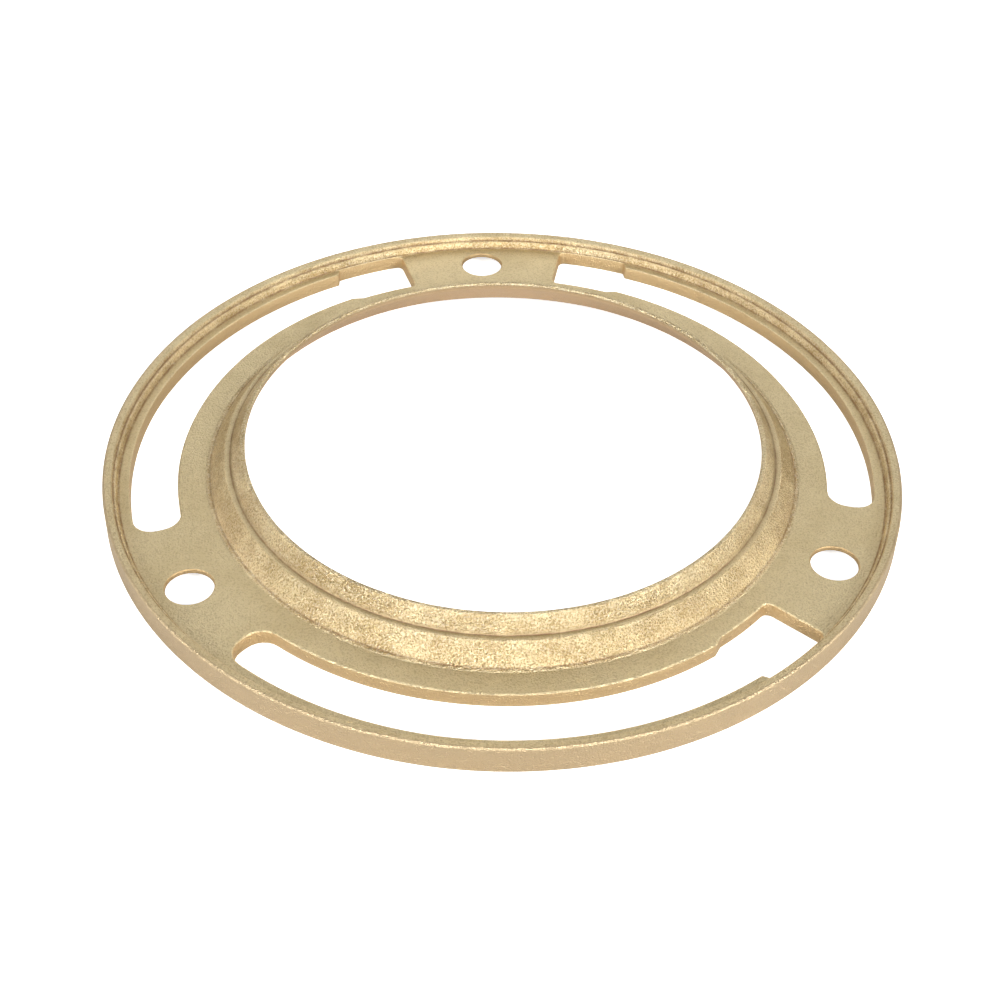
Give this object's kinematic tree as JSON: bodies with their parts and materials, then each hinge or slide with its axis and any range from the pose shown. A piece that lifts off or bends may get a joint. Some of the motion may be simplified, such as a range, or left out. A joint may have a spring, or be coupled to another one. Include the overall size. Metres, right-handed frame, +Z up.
{
  "type": "toilet flange",
  "caption": "Round cast-brass toilet flange: a raised rim, a slotted web for closet bolts, screw holes, and a cone-shaped hub around the drain opening.",
  "frame": {"origin": "on the ring's axis, in the plane of the floor that the outer rim rests on", "axes": "+Z up along the ring's axis, towards the toilet; +X to the right and +Y to the back, with one bridge between two wide slot ends turned 4.8 degrees left of +Y"},
  "size_m": [0.1746, 0.1746, 0.0111],
  "materials": {
    "cast_brass": "as-cast, fine sand grain, matte on the flats"
  },
  "bodies": {
    "root": {"flange_ring": "cast_brass"}
  },
  "joints": []
}
